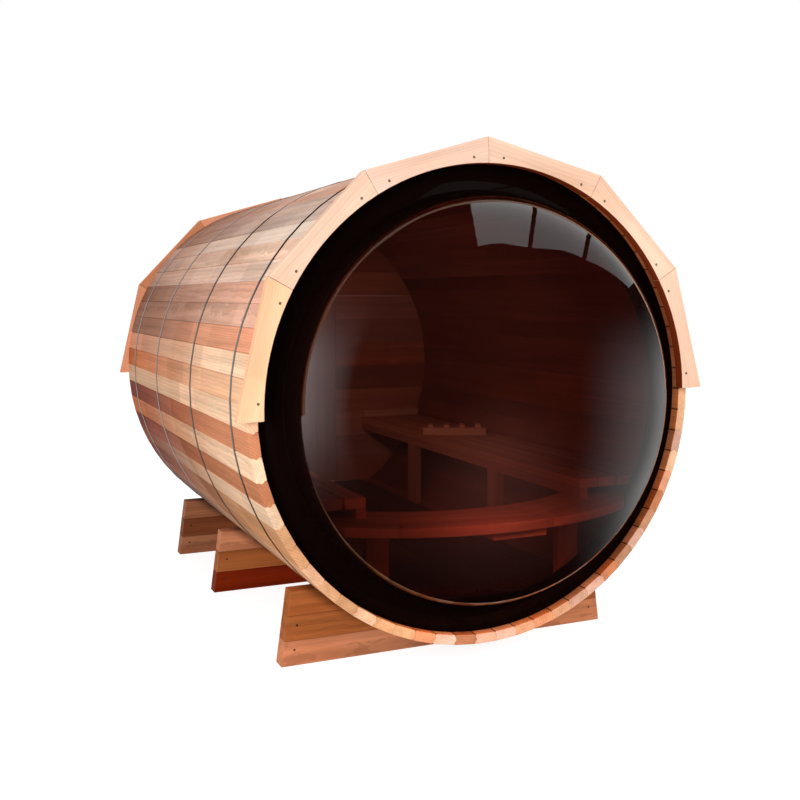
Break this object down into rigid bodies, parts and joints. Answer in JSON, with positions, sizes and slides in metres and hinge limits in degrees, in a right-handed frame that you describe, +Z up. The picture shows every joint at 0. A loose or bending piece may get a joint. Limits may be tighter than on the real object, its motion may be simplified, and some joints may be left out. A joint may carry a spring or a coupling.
{
  "type": "barrel sauna",
  "caption": "Wooden barrel sauna lying on cradles, with a large tinted bubble window closing one end, mitred fascia boards, steel bands and curved benches inside.",
  "frame": {"origin": "on the ground under the middle of the object's box", "axes": "+Z up, Y along the barrel with the bubble window facing -Y, +X to the right seen from the bubble"},
  "size_m": [1.9132, 2.7784, 1.9596],
  "materials": {
    "cedar_staves": "planed red cedar, tone changes from stave to stave",
    "band_steel": "stainless strap",
    "cedar_fascia": "light planed cedar",
    "cedar_cradles": "planed red cedar",
    "tinted_acrylic": "glossy bronze tint",
    "cedar_ring": "planed red cedar",
    "cedar_wall": "planed red cedar",
    "cedar_door": "planed red cedar",
    "door_steel": "satin black",
    "cedar_deck": "planed red cedar",
    "cedar_benches": "planed red cedar",
    "pale_headrest": "planed pale wood"
  },
  "bodies": {
    "root": {"stave_panel_01": "cedar_staves", "stave_panel_02": "cedar_staves", "stave_panel_03": "cedar_staves", "stave_panel_04": "cedar_staves", "stave_panel_05": "cedar_staves", "stave_panel_06": "cedar_staves", "stave_panel_07": "cedar_staves", "stave_panel_08": "cedar_staves", "stave_panel_09": "cedar_staves", "stave_panel_10": "cedar_staves", "stave_panel_11": "cedar_staves", "stave_panel_12": "cedar_staves", "stave_panel_13": "cedar_staves", "band_1": "band_steel", "band_2": "band_steel", "band_3": "band_steel", "band_4": "band_steel", "front_fascia_1": "cedar_fascia", "front_fascia_2": "cedar_fascia", "front_fascia_3": "cedar_fascia", "front_fascia_4": "cedar_fascia", "front_fascia_5": "cedar_fascia", "front_fascia_6": "cedar_fascia", "rear_fascia_1": "cedar_fascia", "rear_fascia_2": "cedar_fascia", "rear_fascia_3": "cedar_fascia", "rear_fascia_4": "cedar_fascia", "rear_fascia_5": "cedar_fascia", "rear_fascia_6": "cedar_fascia", "cradle_front": "cedar_cradles", "cradle_middle": "cedar_cradles", "cradle_rear": "cedar_cradles", "dome_window": "tinted_acrylic", "window_flange": "tinted_acrylic", "dome_ring": "cedar_ring", "rear_wall_left": "cedar_wall", "rear_wall_right": "cedar_wall", "rear_wall_middle": "cedar_wall", "rear_door": "cedar_door", "door_fittings": "door_steel", "floor_deck": "cedar_deck", "left_bench": "cedar_benches", "right_bench": "cedar_benches", "front_bench": "cedar_benches", "headrest": "pale_headrest"}
  },
  "joints": []
}
